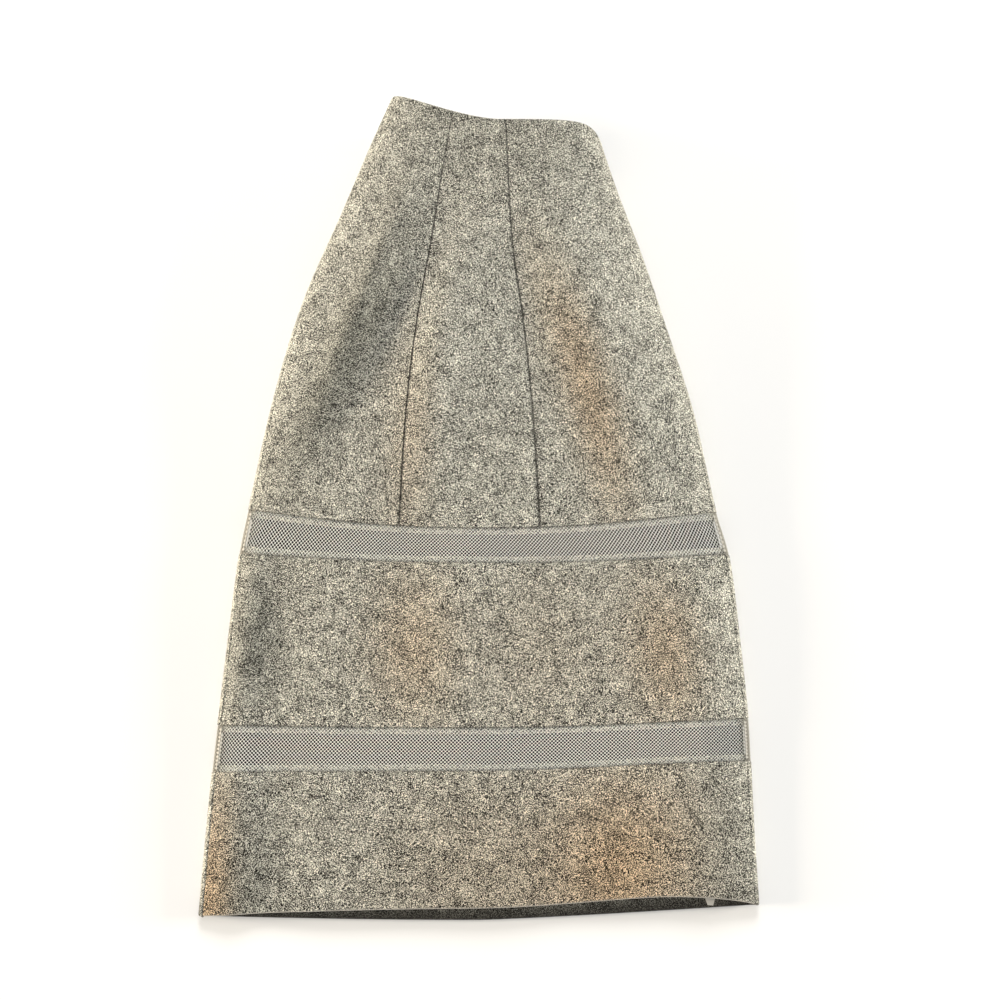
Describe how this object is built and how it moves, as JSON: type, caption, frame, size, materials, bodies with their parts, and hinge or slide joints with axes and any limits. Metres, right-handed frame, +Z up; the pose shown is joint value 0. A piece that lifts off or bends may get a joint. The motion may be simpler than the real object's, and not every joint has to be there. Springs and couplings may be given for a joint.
{
  "type": "pencil skirt",
  "caption": "Midi skirt of thick grey marled wool with two net bands, laid flat front up, open at waist and hem",
  "frame": {"origin": "middle of the bounding box on the surface that the skirt lies on", "axes": "+Z up from the surface, +Y from the hem to the waist, +X to the right as seen from above with the waist at the top"},
  "size_m": [0.5396, 0.8525, 0.08],
  "materials": {
    "wool": "thick marled wool, milled, matt, grey with cream and near-black fibres",
    "net": "cream net with small even holes, slightly glossy thread",
    "lining": "thin near-black lining cloth with a soft sheen",
    "tape": "off-white woven tape, matt"
  },
  "bodies": {
    "root": {"front_upper_left": "wool", "front_upper_centre": "wool", "front_upper_right": "wool", "front_band_upper": "net", "front_middle": "wool", "front_band_lower": "net", "front_lower": "wool", "back_upper_right": "wool", "back_upper_left": "wool", "back_band_upper": "net", "back_middle": "wool", "back_band_lower": "net", "back_lower": "wool", "front_lining": "lining", "hem_tape": "tape"}
  },
  "joints": []
}
